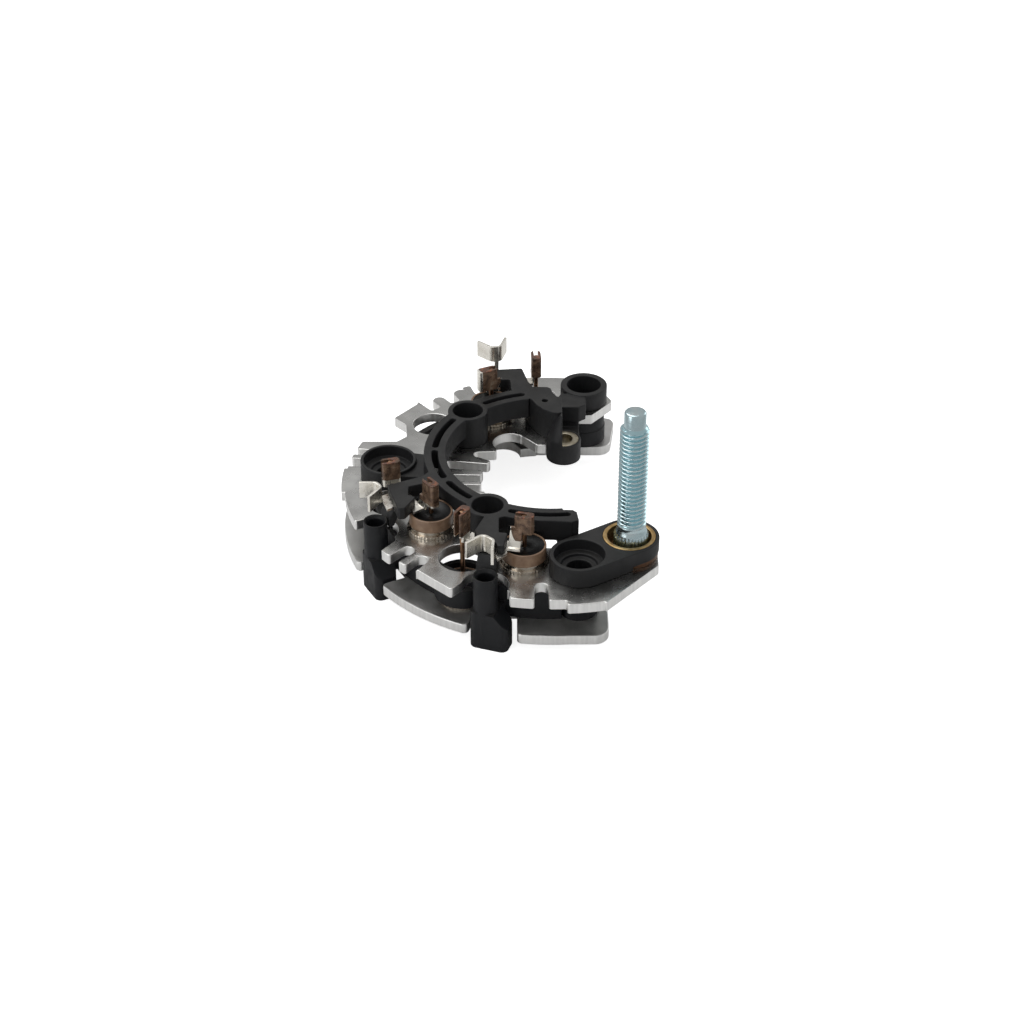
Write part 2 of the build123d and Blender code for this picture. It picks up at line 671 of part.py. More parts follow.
def insulator_frame():
    """Black moulding between the plates: outer wall, rings round the negative diodes, guides."""
    inside = frame_wall_radius - frame_wall_thickness
    floor = lower_top
    roof = upper_bottom
    wall = sector(inside, frame_wall_radius, frame_wall_start, frame_wall_end)
    body = prism(wall, floor, roof)
    body += prism(disc(left_spacer_radius + mould_gap + frame_collar_wall, left_mount), floor, roof)
    ring_floor = lower_top + diode_flange_height + mould_gap
    for k in phases:
        ring = disc(frame_ring_radius, negative_places[k])
        body += prism(ring, ring_floor, frame_ring_top)
        body += wire_guide(k)
    for k in phases:
        bore = disc(diode_sleeve_radius + mould_gap, negative_places[k])
        body -= prism(bore, ring_floor, frame_ring_top)
        body -= prism(disc(diode_flange_radius + mould_gap, negative_places[k]), floor, ring_floor)
        body -= prism(disc(guide_bore_radius, guide_places[k]), guide_bottom, roof + 6)
    for mount, radius in zip(mounts, spacer_radii):
        body -= prism(disc(radius + mould_gap, mount), floor, roof)
    return body


def spacer(centre, radius):
    """Insulating bush that keeps the heat sinks apart round a mounting bolt."""
    tube = disc(radius, centre) - disc(mounting_hole_radius, centre)
    lower = prism(tube, lower_top, upper_bottom - plate_gap / 2)
    step = disc(radius - 0.25, centre) - disc(mounting_hole_radius, centre)
    return lower + prism(step, upper_bottom - plate_gap / 2, upper_bottom)


def stud_washer():
    ring = disc(stud_washer_radius, stud_place) - disc(stud_collar_radius + mould_gap, stud_axis)
    return prism(ring, upper_top, upper_top + stud_washer_thickness)


def stud_ring():
    ring = disc(stud_ring_radius, stud_place) - disc(stud_ring_bore, stud_place)
    return prism(ring, upper_top + stud_washer_thickness, cup_top)


def terminal_stud():
    """Threaded stud with a knurled collar pressed into the upper sink from below."""
    collar_top = cup_top + stud_collar_top_above_cup
    cone_top = collar_top + stud_cone_length
    thread_top = cone_top + stud_thread_length
    knurl = knurled_disc(stud_collar_radius, 2 * knurl_depth, stud_knurls, stud_axis)
    body = prism(disc(stud_head_radius, stud_axis), upper_bottom - stud_head_thickness, upper_bottom)
    body += prism(Sketch() + knurl, upper_bottom, collar_top)
    chamfer_height = stud_thread_radius - stud_point_radius
    collar_edge = stud_collar_radius - 2 * knurl_depth
    profile = [(0, collar_top), (collar_edge, collar_top), (stud_thread_radius, cone_top)]
    # Thread as one groove per turn, without the helix
    turns = int((stud_thread_length - chamfer_height) / stud_thread_pitch)
    root_radius = stud_thread_radius - stud_thread_depth
    for turn in range(turns):
        crest_end = cone_top + turn * stud_thread_pitch + stud_crest_width
        next_crest = cone_top + (turn + 1) * stud_thread_pitch
        profile += [(stud_thread_radius, crest_end), (root_radius, (crest_end + next_crest) / 2),
                    (stud_thread_radius, next_crest)]
    point_top = thread_top + stud_point_length
    profile += [(stud_thread_radius, thread_top - chamfer_height),
                (stud_point_radius, thread_top), (stud_point_radius, point_top - 0.4),
                (stud_point_radius - 0.4, point_top), (0, point_top)]
    return body + turned(profile, stud_axis)


def threaded_bush():
    """Flanged bush with a plain bore in place of its fine thread."""
    barrel = disc(bush_radius, bush_place) - disc(bush_thread_radius, bush_place)
    flange = disc(bush_flange_radius, bush_place) - disc(bush_thread_radius, bush_place)
    body = prism(barrel, bush_face - bush_height, bush_face)
    return body + prism(flange, bush_face - bush_flange_thickness, bush_face)


def diode_nodes(side, k, centre, seat_bottom, seat_top, clip_top):
    """The four pieces of one diode, by node name."""
    name = f"{side}_diode_{k + 1}"
    return {
        f"{name}_base": diode_base(centre, seat_bottom, seat_top),
        f"{name}_sleeve": diode_sleeve(centre, seat_top),
        f"{name}_potting": diode_potting(centre, seat_top),
        f"{name}_lead": diode_lead(centre, seat_top, clip_top),
    }


def all_nodes():
    nodes = {
        "upper_heat_sink": upper_heat_sink(),
        "lower_heat_sink": lower_heat_sink(),
        "terminal_carrier": terminal_carrier(),
        "insulator_frame": insulator_frame(),
        "mounting_spacer_front": spacer(front_mount, front_spacer_radius),
        "mounting_spacer_left": spacer(left_mount, left_spacer_radius),
        "mounting_spacer_right": spacer(right_mount, right_spacer_radius),
        "stud_washer": stud_washer(),
        "stud_ring": stud_ring(),
        "terminal_stud": terminal_stud(),
        "threaded_bush": threaded_bush(),
    }
    for k in phases:
        nodes[f"phase_terminal_{k + 1}"] = phase_terminal(k)
        negative_top = negative_clip_spans[k][1]
        positive_top = positive_clip_spans[k][1]
        nodes.update(diode_nodes("negative", k, negative_places[k], 0, lower_top, negative_top))
        nodes.update(diode_nodes("positive", k, positive_places[k], upper_bottom, upper_top, positive_top))
    return nodes


os.makedirs("parts", exist_ok=True)
for node_name, piece in all_nodes().items():
    solids = piece.solids()
    export_step(solids[0] if len(solids) == 1 else piece, f"parts/{node_name}.step")
    print(node_name, len(solids), round(piece.volume, 1))
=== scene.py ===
# %% [markdown]
# # Alternator rectifier
# This lesson dresses a rectifier from a car alternator: two stamped aluminium heat sinks,
# six press-fit diodes, a black terminal carrier and a tall output stud.
# The shapes come from a finished CAD model, which is loaded first and never moved.
# What is left for Blender is the surface: finishes, softened edges, the stud's thread,
# the sloped shoulders of the guide blocks, and the light.

import math

import bmesh
import bpy
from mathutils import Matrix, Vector


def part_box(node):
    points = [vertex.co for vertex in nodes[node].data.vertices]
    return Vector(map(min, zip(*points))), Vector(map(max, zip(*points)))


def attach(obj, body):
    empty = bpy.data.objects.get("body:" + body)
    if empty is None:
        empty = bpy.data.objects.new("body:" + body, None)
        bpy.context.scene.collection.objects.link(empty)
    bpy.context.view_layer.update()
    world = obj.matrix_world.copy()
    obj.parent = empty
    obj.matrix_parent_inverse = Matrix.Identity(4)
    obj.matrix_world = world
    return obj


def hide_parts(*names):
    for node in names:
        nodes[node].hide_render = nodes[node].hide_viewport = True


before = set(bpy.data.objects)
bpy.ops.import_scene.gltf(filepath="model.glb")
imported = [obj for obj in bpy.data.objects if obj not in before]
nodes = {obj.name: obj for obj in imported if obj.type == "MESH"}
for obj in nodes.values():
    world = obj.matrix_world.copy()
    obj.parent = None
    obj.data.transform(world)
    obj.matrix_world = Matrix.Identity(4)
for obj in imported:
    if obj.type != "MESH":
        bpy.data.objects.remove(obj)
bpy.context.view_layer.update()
print("nodes loaded:", len(nodes))

# %% [markdown]
# ## Softening the edges
# Stamped and moulded edges are never razor sharp: the small round along them catches the light.
# It could be modelled in CAD, but the Bevel modifier does it here with no change to the mesh.
# The mesh arrives with doubled points, so a Weld comes first. The bevel then takes only the edges
# that turn a corner, and leaves alone the ones that cut a flat face into triangles.
# Two of its options are switched off. Loop slide would move the new points along the triangles'
# own edges, which folds thin triangles over into dark cracks. The clamp on overlap would let the
# shortest edge of a piece shrink every round on it.
# Smooth shading would let each round bleed into the flat next to it. So an Edge Split keeps the
# corners that are still sharp, and a Weighted Normal comes last: there the large faces decide,
# and they stay flat.

# %% A helper that softens one piece
mm = 0.001
weld_distance = 0.002 * mm
split_margin = 6


def soften(piece, width, segments=2, sharp=32):
    """Weld the mesh of one piece and round its edges sharper than an angle in degrees."""
    weld = piece.modifiers.new("Weld", "WELD")
    weld.merge_threshold = weld_distance
    if width > 0:
        bevel = piece.modifiers.new("Soft edges", "BEVEL")
        bevel.width = width * mm
        bevel.segments = segments
        bevel.limit_method = "ANGLE"
        bevel.angle_limit = math.radians(sharp)
        bevel.use_clamp_overlap = False
        bevel.loop_slide = False
    piece.data.shade_smooth()
    corners = piece.modifiers.new("Sharp corners", "EDGE_SPLIT")
    corners.split_angle = math.radians(sharp + split_margin)
    flat = piece.modifiers.new("Flat faces", "WEIGHTED_NORMAL")
    flat.weight = 100


print("points closer than", weld_distance / mm, "mm are welded")

# %% [markdown]
# ## How the finishes are built
# Each finish starts as a Principled shader, which a short helper makes. A few more helpers add
# what a real surface has: a cloud of noise, a ramp that turns the cloud into colours or
# roughnesses, and a fine bump. So each recipe below reads as a list of those things.

# %% Helpers for finishes
def new_finish(name, colour, roughness, metallic=0.0):
    """Material with a Principled shader; returns it with its node tree and shader."""
    finish = bpy.data.materials.new(name)
    finish.use_nodes = True
    tree = finish.node_tree
    shader = tree.nodes["Principled BSDF"]
    shader.inputs["Base Color"].default_value = (*colour, 1.0)
    shader.inputs["Roughness"].default_value = roughness
    shader.inputs["Metallic"].default_value = metallic
    return finish, tree, shader


def noise(tree, scale, detail=4.0, stretch=(1.0, 1.0, 1.0)):
    """Noise laid over the piece in metres, with its place multiplied along the three axes."""
    place = tree.nodes.new("ShaderNodeTexCoord")
    mapping = tree.nodes.new("ShaderNodeMapping")
    mapping.inputs["Scale"].default_value = stretch
    tree.links.new(place.outputs["Object"], mapping.inputs["Vector"])
    cloud = tree.nodes.new("ShaderNodeTexNoise")
    cloud.inputs["Scale"].default_value = scale
    cloud.inputs["Detail"].default_value = detail
    tree.links.new(mapping.outputs["Vector"], cloud.inputs["Vector"])
    return cloud.outputs["Fac"]


def grey(value):
    """Colour with one value in all three channels, which also serves as a roughness."""
    return (value, value, value)


def ramp(tree, source, stops):
    """Colour ramp through (position, colour) stops."""
    node = tree.nodes.new("ShaderNodeValToRGB")
    while len(node.color_ramp.elements) < len(stops):
        node.color_ramp.elements.new(0.5)
    for element, (position, colour) in zip(node.color_ramp.elements, stops):
        element.position = position
        element.color = (*colour, 1.0)
    tree.links.new(source, node.inputs["Fac"])
    return node.outputs["Color"]


def vary(tree, shader, socket, source, stops):
    """Let a ramp over a source set one socket of the shader."""
    tree.links.new(ramp(tree, source, stops), shader.inputs[socket])


def bump(tree, shader, source, depth, strength=0.5):
    """Fine relief from a height source, depth in millimetres."""
    node = tree.nodes.new("ShaderNodeBump")
    node.inputs["Strength"].default_value = strength
    node.inputs["Distance"].default_value = depth * mm
    tree.links.new(source, node.inputs["Height"])
    tree.links.new(node.outputs["Normal"], shader.inputs["Normal"])


print("helpers for finishes ready")

# %% [markdown]
# ## Masks from the shape itself
# A mask is 1 where a finish applies and 0 elsewhere. It could be painted by hand, but that needs an
# unwrapped mesh. Here a mask is worked out from the way a face looks or from where a point lies,
# so it fits every piece as it comes from CAD.

# %% Helpers for masks
level_share = 0.9


def calculate(tree, operation, first, second):
    """Math node on two values, each a number or a socket."""
    node = tree.nodes.new("ShaderNodeMath")
    node.operation = operation
    for socket, value in zip(node.inputs, (first, second)):
        if isinstance(value, (int, float)):
            socket.default_value = value
        else:
            tree.links.new(value, socket)
    return node.outputs["Value"]


def blend(tree, factor, first, second):
    """Mix of two colours, each a tuple or a socket: the first at factor 0, the second at 1."""
    node = tree.nodes.new("ShaderNodeMix")
    node.data_type = "RGBA"
    tree.links.new(factor, node.inputs["Factor"])
    for name, value in (("A", first), ("B", second)):
        socket = [s for s in node.inputs if s.name == name and s.type == "RGBA"][0]
        if isinstance(value, tuple):
            socket.default_value = (*value, 1.0)
        else:
            tree.links.new(value, socket)
    return [s for s in node.outputs if s.type == "RGBA"][0]


def split_axes(tree, vector):
    """The X, Y and Z of a vector socket."""
    split = tree.nodes.new("ShaderNodeSeparateXYZ")
    tree.links.new(vector, split.inputs["Vector"])
    return split.outputs


def facing_up(tree):
    """1 on faces that look straight up or down, 0 on upright walls."""
    geometry = tree.nodes.new("ShaderNodeNewGeometry")
    upward = split_axes(tree, geometry.outputs["True Normal"])["Z"]
    return calculate(tree, "GREATER_THAN", calculate(tree, "ABSOLUTE", upward, 0), level_share)


def place_on_piece(tree):
    """The X, Y and Z of the point that is coloured, in metres."""
    return split_axes(tree, tree.nodes.new("ShaderNodeTexCoord").outputs["Object"])


def height(tree):
    """Height above the lower heat sink's underside, in metres."""
    return place_on_piece(tree)["Z"]


def near_axis(tree, centre, reach):
    """1 inside a reach from an upright axis and 0 beyond it, both given in millimetres."""
    place = place_on_piece(tree)
    across = calculate(tree, "SUBTRACT", place["X"], centre[0] * mm)
    along = calculate(tree, "SUBTRACT", place["Y"], centre[1] * mm)
    squared = calculate(tree, "ADD", calculate(tree, "MULTIPLY", across, across),
                        calculate(tree, "MULTIPLY", along, along))
    distance = calculate(tree, "SQRT", squared, 0)
    return calculate(tree, "LESS_THAN", distance, reach * mm)


print("helpers for masks ready")

# %% [markdown]
# ## Aluminium heat sinks
# The plates are stamped from rolled sheet. Their tops have a soft haze and a cloudy patina,
# brighter on the upper plate and satin on the lower one. The sheared walls are paler,
# with fine upright lines from the punch.
# One recipe makes both sheets: a mask on the face's direction switches between the roughness
# and colour of the top and those of the wall.

# %% Aluminium
def aluminium(name, top_haze, top_colour, metallic):
    """Rolled sheet with sheared walls; top_haze is the middle roughness of the top."""
    finish, tree, shader = new_finish(name, top_colour, top_haze, metallic=metallic)
    cloud = noise(tree, 220.0, 5.0)
    haze = ramp(tree, cloud, [(0.3, grey(top_haze * 0.8)), (0.75, grey(top_haze * 1.35))])
    shear = noise(tree, 900.0, 3.0, stretch=(1.0, 1.0, 0.06))
    wall_haze = ramp(tree, shear, [(0.25, grey(0.3)), (0.8, grey(0.46))])
    up = facing_up(tree)
    tree.links.new(blend(tree, up, wall_haze, haze), shader.inputs["Roughness"])
    dark = tuple(channel * 0.7 for channel in top_colour)
    patina = ramp(tree, noise(tree, 90.0, 8.0), [(0.3, dark), (0.62, top_colour)])
    wall = ramp(tree, shear, [(0.3, (0.78, 0.775, 0.76)), (0.7, (0.92, 0.915, 0.895))])
    tree.links.new(blend(tree, up, wall, patina), shader.inputs["Base Color"])
    bump(tree, shader, shear, 0.02, 0.35)
    return finish


bright_sheet = aluminium("bright_aluminium", 0.25, (0.62, 0.615, 0.595), 1.0)
satin_sheet = aluminium("satin_aluminium", 0.42, (0.62, 0.615, 0.60), 0.9)
print("aluminium finishes ready")

# %% [markdown]
# ## Black moulded plastic
# The carrier and the frame are a filled plastic, such as nylon with glass fibre: almost black,
# with a soft sheen. Dust makes their tops a little uneven, wear varies the sheen, and a fine grain
# breaks it. Their walls get a darker, faintly blue colour, which is painted shade, and it is
# deeper on the frame's walls than on the carrier's. So one recipe takes the wall's colour and makes both.

# %% Black plastic
def moulding(name, shaded_wall_colour):
    """Black plastic with a dusty top and walls in the given colour, which is painted shade."""
    finish, tree, shader = new_finish(name, (0.02, 0.02, 0.021), 0.5)
    dust = ramp(tree, noise(tree, 160.0, 6.0),
                [(0.35, (0.012, 0.012, 0.012)), (0.72, (0.021, 0.0205, 0.0195))])
    tree.links.new(blend(tree, facing_up(tree), shaded_wall_colour, dust), shader.inputs["Base Color"])
    vary(tree, shader, "Roughness", noise(tree, 300.0, 4.0), [(0.3, grey(0.42)), (0.7, grey(0.6))])
    shader.inputs["Specular IOR Level"].default_value = 0.33
    bump(tree, shader, noise(tree, 5200.0, 3.0), 0.03, 0.3)
    return finish


# Both wall colours are painted shade, deeper on the frame than on the carrier.
carrier_plastic = moulding("carrier_plastic", (0.015, 0.0152, 0.0162))
black_plastic = moulding("black_plastic", (0.0075, 0.0082, 0.010))
print("plastic ready")

# %% [markdown]
# ## Diode finishes
# Each diode has a warm nickel plated cup with a knurled flange, a brown moulded ring,
# black resin and a copper lead. Nickel is a metal with a slight yellow cast and small stains.
# The lead's copper comes in the next step, with the strip that it is welded to.

# %% Nickel, brown ring and resin
nickel, tree, shader = new_finish("warm_nickel", (0.62, 0.56, 0.48), 0.2, metallic=1.0)
vary(tree, shader, "Base Color", noise(tree, 420.0, 6.0),
     [(0.3, (0.30, 0.24, 0.18)), (0.6, (0.66, 0.60, 0.52))])
vary(tree, shader, "Roughness", noise(tree, 600.0, 3.0), [(0.3, grey(0.1)), (0.8, grey(0.24))])

brown_ring, tree, shader = new_finish("brown_ring", (0.27, 0.175, 0.115), 0.36)
vary(tree, shader, "Base Color", noise(tree, 500.0, 5.0),
     [(0.3, (0.20, 0.12, 0.075)), (0.75, (0.33, 0.215, 0.14))])
bump(tree, shader, noise(tree, 3000.0, 3.0), 0.02, 0.25)

resin, tree, shader = new_finish("black_resin", (0.006, 0.006, 0.006), 0.34)
shader.inputs["Specular IOR Level"].default_value = 0.3
bump(tree, shader, noise(tree, 700.0, 3.0), 0.08, 0.4)
print("diode finishes ready")

# %% [markdown]
# ## Tinned and oxidised copper
# The phase terminals are tinned copper strip. The flats and hooks are warm silver, and the clips
# round the leads were heated when they were welded, so they are brown with orange tips.
# Both follow from place alone: the distance from a lead says what is a clip, and the height of the
# lead's end says where the tip starts. Noise added to that height makes the tip's edge uneven.

# %% Terminal strip
clip_reach = 3.6
clip_bottom = 24.2
ragged_edge = 3.6
tip_above_lead = 1.9


def clip_and_tip(tree, lead, cloud):
    """Masks of the clip round a lead and of its uppermost part, which has an uneven lower edge."""
    low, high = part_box(lead)
    centre = ((low[0] + high[0]) / 2 / mm, (low[1] + high[1]) / 2 / mm)
    above_flat = calculate(tree, "GREATER_THAN", height(tree), clip_bottom * mm)
    clip = calculate(tree, "MULTIPLY", near_axis(tree, centre, clip_reach), above_flat)
    unevenness = calculate(tree, "MULTIPLY", cloud, ragged_edge * mm)
    ragged = calculate(tree, "ADD", height(tree), unevenness)
    tip = calculate(tree, "GREATER_THAN", ragged, high[2] + tip_above_lead * mm)
    return clip, calculate(tree, "MULTIPLY", clip, tip)


def terminal_finish(k):
    """Tinned strip of one phase, brown round its two leads."""
    finish, tree, shader = new_finish(f"terminal_strip_{k}", (0.62, 0.58, 0.50), 0.3, metallic=1.0)
    tin = ramp(tree, noise(tree, 260.0, 4.0),
               [(0.28, (0.72, 0.685, 0.61)), (0.62, (0.92, 0.89, 0.82))])
    cloud = noise(tree, 520.0, 7.0)
    brown = ramp(tree, cloud, [(0.30, (0.06, 0.036, 0.024)), (0.48, (0.16, 0.10, 0.066)),
                               (0.62, (0.25, 0.16, 0.105)), (0.75, (0.38, 0.30, 0.22))])
    fresh_cut = ramp(tree, noise(tree, 750.0, 3.0),
                     [(0.5, (0.13, 0.068, 0.048)), (0.74, (0.42, 0.15, 0.075))])
    body = tin
    bare = 1.0
    for side in ("negative", "positive"):
        clip, tip = clip_and_tip(tree, f"{side}_diode_{k}_lead", cloud)
        body = blend(tree, tip, blend(tree, clip, body, brown), fresh_cut)
        bare = calculate(tree, "SUBTRACT", bare, calculate(tree, "MULTIPLY", clip, 0.6))
    tree.links.new(body, shader.inputs["Base Color"])
    tree.links.new(bare, shader.inputs["Metallic"])
    vary(tree, shader, "Roughness", noise(tree, 800.0, 4.0), [(0.3, grey(0.22)), (0.75, grey(0.42))])
    bump(tree, shader, noise(tree, 900.0, 5.0), 0.08, 0.4)
    return finish


terminal_finishes = {k: terminal_finish(k) for k in (1, 2, 3)}
copper, tree, shader = new_finish("copper_lead", (0.42, 0.22, 0.12), 0.35, metallic=1.0)
vary(tree, shader, "Base Color", noise(tree, 500.0, 5.0),
     [(0.3, (0.16, 0.09, 0.06)), (0.7, (0.5, 0.3, 0.18))])
print("strip finishes:", len(terminal_finishes))

# %% [markdown]
# ## Stud, ring, washer and bush
# The stud is zinc plated with a pale blue cast. Down in the thread a mask between two heights,
# close to the axis, gives the grooves a deeper blue, which is painted shade in the recesses.
# Round the stud sit a dull brass ring and a dark brown laminate washer, and the bush at the other
# end has an older, yellower zinc.

# %% Small metal finishes
stud_centre = (21.5, -36.7)
groove_reach = 3.72
groove_bottom = 25.3
groove_top = 56.0

zinc, tree, shader = new_finish("blue_zinc", (0.52, 0.63, 0.66), 0.24, metallic=1.0)
cast = ramp(tree, noise(tree, 240.0, 5.0),
            [(0.3, (0.44, 0.58, 0.62)), (0.55, (0.52, 0.64, 0.67)), (0.75, (0.64, 0.70, 0.70))])
below_top = calculate(tree, "LESS_THAN", height(tree), groove_top * mm)
above_bottom = calculate(tree, "GREATER_THAN", height(tree), groove_bottom * mm)
between = calculate(tree, "MULTIPLY", below_top, above_bottom)
painted_groove_shade = calculate(tree, "MULTIPLY", near_axis(tree, stud_centre, groove_reach), between)
# The deeper blue in the grooves is painted shade in the thread's recesses.
tree.links.new(blend(tree, painted_groove_shade, cast, (0.45, 0.65, 0.70)), shader.inputs["Base Color"])
vary(tree, shader, "Roughness", noise(tree, 900.0, 3.0), [(0.3, grey(0.14)), (0.7, grey(0.28))])

brass, tree, shader = new_finish("dull_brass", (0.56, 0.38, 0.15), 0.38, metallic=1.0)
vary(tree, shader, "Base Color", noise(tree, 500.0, 5.0),
     [(0.3, (0.34, 0.21, 0.08)), (0.7, (0.56, 0.40, 0.19))])

laminate, tree, shader = new_finish("brown_laminate", (0.09, 0.034, 0.008), 0.45)
vary(tree, shader, "Base Color", noise(tree, 900.0, 4.0, stretch=(1.0, 1.0, 6.0)),
     [(0.3, (0.06, 0.02, 0.005)), (0.7, (0.13, 0.055, 0.014))])

old_zinc, tree, shader = new_finish("old_zinc", (0.42, 0.37, 0.28), 0.28, metallic=1.0)
vary(tree, shader, "Base Color", noise(tree, 700.0, 5.0),
     [(0.3, (0.26, 0.215, 0.14)), (0.7, (0.50, 0.46, 0.37))])
print("small finishes ready")

# %% [markdown]
# ## Giving each node its finish
# The node names say what each piece is, so a short list of rules picks the finish and the width
# of the softened edge. Thick mouldings get a wide round, thin strip a narrow one.
# The resin is set in a cup and shows no edge of its own, so it gets none.

# %% Assign finishes and soften the edges
def dress(piece, finish, width, segments=2):
    """Give one piece its finish and round its edges by a width in millimetres."""
    piece.data.materials.clear()
    piece.data.materials.append(finish)
    soften(piece, width, segments)


for name, piece in nodes.items():
    if name == "upper_heat_sink":
        dress(piece, bright_sheet, 0.24, 3)
    elif name == "lower_heat_sink":
        dress(piece, satin_sheet, 0.35, 3)
    elif name == "terminal_carrier":
        dress(piece, carrier_plastic, 0.3, 3)
    elif name == "insulator_frame" or name.startswith("mounting_spacer"):
        dress(piece, black_plastic, 0.2)
    elif name.startswith("phase_terminal"):
        dress(piece, terminal_finishes[int(name[-1])], 0.07)
    elif name.endswith("_base"):
        dress(piece, nickel, 0.06, 1)
    elif name.endswith("_sleeve"):
        dress(piece, brown_ring, 0.15)
    elif name.endswith("_potting"):
        dress(piece, resin, 0.0)
    elif name.endswith("_lead"):
        dress(piece, copper, 0.1)
    elif name == "stud_ring":
        dress(piece, brass, 0.25)
    elif name == "stud_washer":
        dress(piece, laminate, 0.15)
    elif name == "threaded_bush":
        dress(piece, old_zinc, 0.3)
print("dressed", len(nodes), "nodes")

# %% [markdown]
# ## The threaded stud
# An M8 thread is the part's most visible fine detail. A texture would look flat against the white
# background, where the crests make the outline, so the thread is real geometry.
# One grid of points does the whole stud: each ring has a height, and the radius at each point
# follows a profile. On the thread the profile climbs as it turns, which is what makes a helix.

# %% Sizes of the stud
head_radius = 6.4
head_bottom = 11.0
head_edge = 0.3
plate_bottom = 12.8
collar_radius = 4.75
collar_depth = 0.32
collar_teeth = 28
collar_top = 22.5
collar_edge_height = 0.35
collar_edge_width = 0.2
neck_radius = 3.75
bell_bottom = collar_top + 0.15
bell_inset = 0.3
bell_rings = 8
bell_curve = 1.4
thread_start = 25.1
thread_end = 56.1
thread_pitch = 1.25
thread_depth = 0.72
crest_radius = 3.95
crest_share = 0.16
flank_share = 0.62
taper_length = 1.0
rings_per_turn = 12
bell_top = thread_start - 0.15
point_radius = 2.92
point_bottom = thread_end + 0.05
point_round = [(0.45, 0.0), (0.1, 0.3), (0.0, 0.6)]
stud_top = 60.4
closing_radius = 0.01
points_per_ring = collar_teeth * 4
crisp_angle = 42
print("turns of thread:", (thread_end - thread_start) / thread_pitch)

# %% [markdown]
# ## Profiles of the stud
# Each profile tells the radius at a part of a turn, from 0 to 1. A plain ring has one radius all
# round, the collar goes in and out once a tooth, and the thread goes in and out once a pitch.
# What sets the thread apart is that its wave is shifted by the turn itself.

# %% Radius round a turn
def plain(radius):
    """Ring with one radius all round."""
    return lambda turn: radius


def collar_radius_at(turn):
    """Radius of the knurled collar, which is widest in the middle of each tooth."""
    tooth = (turn * collar_teeth) % 1.0
    return collar_radius - collar_depth * abs(tooth - 0.5) * 2.0


def thread_radius(z, turn):
    """Radius of an M8 thread at a height and a part of a turn, with its crests cut at the end."""
    step = ((z - thread_start) / thread_pitch - turn) % 1.0
    from_crest = abs(step - 0.5) * 2.0
    groove = min(max((from_crest - crest_share) / flank_share, 0.0), 1.0)
    runout = min(max((z - thread_start) / thread_pitch, 0.0), 1.0)
    taper = max(0.0, z - (thread_end - taper_length))
    return min(crest_radius - thread_depth * groove * runout, crest_radius - taper)


def threaded(z):
    """Ring of the thread at a height."""
    return lambda turn: thread_radius(z, turn)


def bell_radius(rise):
    """Radius between the collar and the thread, a quarter of a wave from wide to narrow."""
    flare = collar_radius - bell_inset - neck_radius
    return neck_radius + flare * (1 - math.sin(math.pi / 2 * rise) ** bell_curve)


print("deepest groove radius:", round(min(thread_radius(40.0, i / 100) for i in range(100)), 3))

# %% [markdown]
# ## Stacking the rings
# The list below climbs the stud: the round head under the plate, the knurled collar, the bell, the
# thread and the plain point, whose end is rounded by the pairs in point_round: how far below the
# top, and how far in. Two rings at one height make a step. The first and last rings are nearly
# points, which closes the ends.

# %% Rings from the head to the point
rings = [(head_bottom, plain(closing_radius)), (head_bottom, plain(head_radius - head_edge))]
rings += [(head_bottom + head_edge, plain(head_radius)), (plate_bottom, plain(head_radius))]
rings += [(plate_bottom, collar_radius_at), (collar_top - collar_edge_height, collar_radius_at)]
rings += [(collar_top, lambda turn: collar_radius_at(turn) - collar_edge_width)]
for step in range(1, bell_rings + 1):
    rise = step / bell_rings
    rings.append((bell_bottom + (bell_top - bell_bottom) * rise, plain(bell_radius(rise))))
rings += [(thread_start, plain(crest_radius))]
thread_rings = int((thread_end - thread_start) / thread_pitch * rings_per_turn)
for step in range(1, thread_rings + 1):
    z = thread_start + (thread_end - thread_start) * step / thread_rings
    rings.append((z, threaded(z)))
rings += [(point_bottom, plain(point_radius))]
rings += [(stud_top - below, plain(point_radius - inward)) for below, inward in point_round]
rings += [(stud_top, plain(closing_radius))]
print("rings:", len(rings), "of which thread:", thread_rings)

# %% Build the stud from its rings
def add_object(name, data):
    """New object in the scene around a mesh, lamp or camera."""
    made = bpy.data.objects.new(name, data)
    bpy.context.scene.collection.objects.link(made)
    return made


points = []
for z, radius_at in rings:
    for i in range(points_per_ring):
        turn = i / points_per_ring
        radius = radius_at(turn)
        angle = 2 * math.pi * turn
        x = stud_centre[0] + radius * math.cos(angle)
        y = stud_centre[1] + radius * math.sin(angle)
        points.append((x * mm, y * mm, z * mm))
faces = []
for row in range(len(rings) - 1):
    for i in range(points_per_ring):
        here = row * points_per_ring + i
        beside = row * points_per_ring + (i + 1) % points_per_ring
        faces.append((here, beside, beside + points_per_ring, here + points_per_ring))

stud_mesh = bpy.data.meshes.new("threaded_stud")
stud_mesh.from_pydata(points, [], faces)
stud_mesh.materials.append(zinc)
stud_mesh.shade_smooth()
threaded_stud = add_object("threaded_stud", stud_mesh)
crisp = threaded_stud.modifiers.new("Crisp steps", "EDGE_SPLIT")
crisp.split_angle = math.radians(crisp_angle)
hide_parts("terminal_stud")
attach(threaded_stud, "root")
print("stud faces:", len(faces))

# %% [markdown]
# ## Shoulders of the guide blocks
# Below each wire guide the block slopes down from the tube to its far end. The solid's block is flat
# there, so a copy of the frame gets one wedge cut away beside each tube, and takes the solid's place.
# A Boolean modifier could stay on the copy, but its cutters would have to stay in the scene with
# it. So the cut is worked out once, and the cutters are deleted.

# %% Sizes and shape of a shoulder's wedge
guide_angles = (251.0, 207.9, 107.5)
guide_circle = 54.8
shoulder_start = 3.35
shoulder_end = 7.4
shoulder_high = 8.0
shoulder_low = 3.1
wedge_top = shoulder_high + 1
wedge_half_depth = 3.5


